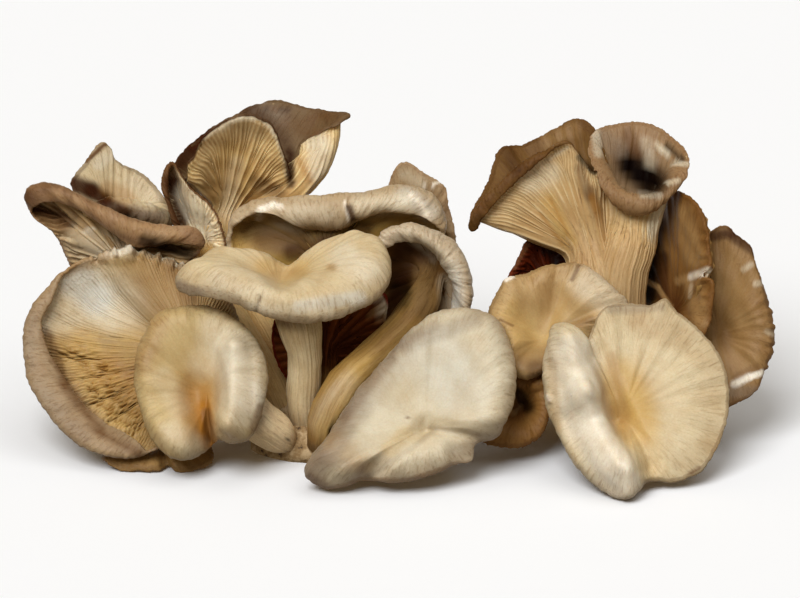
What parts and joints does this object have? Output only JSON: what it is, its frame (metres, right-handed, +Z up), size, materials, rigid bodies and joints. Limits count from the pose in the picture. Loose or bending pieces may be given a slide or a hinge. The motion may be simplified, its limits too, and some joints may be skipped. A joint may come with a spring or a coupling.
{
  "type": "oyster mushroom cluster",
  "caption": "Cluster of oyster mushrooms: fan and funnel caps with rolled, wavy edges, and gills that run down curved stems standing in one low knobbly base clump.",
  "frame": {"origin": "middle of the flat underside of the base clump", "axes": "+Z up, +X to the right along the cluster's length, -Y towards the side that the broad front caps face"},
  "size_m": [0.3006, 0.1453, 0.1253],
  "materials": {
    "pale_mushroom": "smooth moist skin in creamy beige, with fine streaks and paler gills",
    "tan_mushroom": "smooth skin in orange-tan, darker in the funnels, with cream gills",
    "brown_mushroom": "smooth grey-brown skin with darker streaks towards the rolled edges",
    "base_clump": "rough dark brown clump with fibres and crumbs of straw"
  },
  "bodies": {
    "root": {"mushroom_left_large": "pale_mushroom", "mushroom_left_low": "pale_mushroom", "mushroom_left_shelf": "pale_mushroom", "mushroom_front_fan": "pale_mushroom", "mushroom_centre_funnel": "pale_mushroom", "mushroom_centre_shelf": "tan_mushroom", "mushroom_left_trumpet": "tan_mushroom", "mushroom_left_fold": "tan_mushroom", "mushroom_left_rolled": "brown_mushroom", "mushroom_left_petal": "tan_mushroom", "mushroom_left_bud": "brown_mushroom", "mushroom_inner_bud": "tan_mushroom", "mushroom_centre_flap": "tan_mushroom", "mushroom_right_fan": "pale_mushroom", "mushroom_right_shelf": "pale_mushroom", "mushroom_right_trumpets": "tan_mushroom", "mushroom_right_side": "brown_mushroom", "mushroom_right_outer": "brown_mushroom", "mushroom_right_back_bud": "brown_mushroom", "mushroom_right_low_bud": "brown_mushroom", "base_clump": "base_clump"}
  },
  "joints": []
}
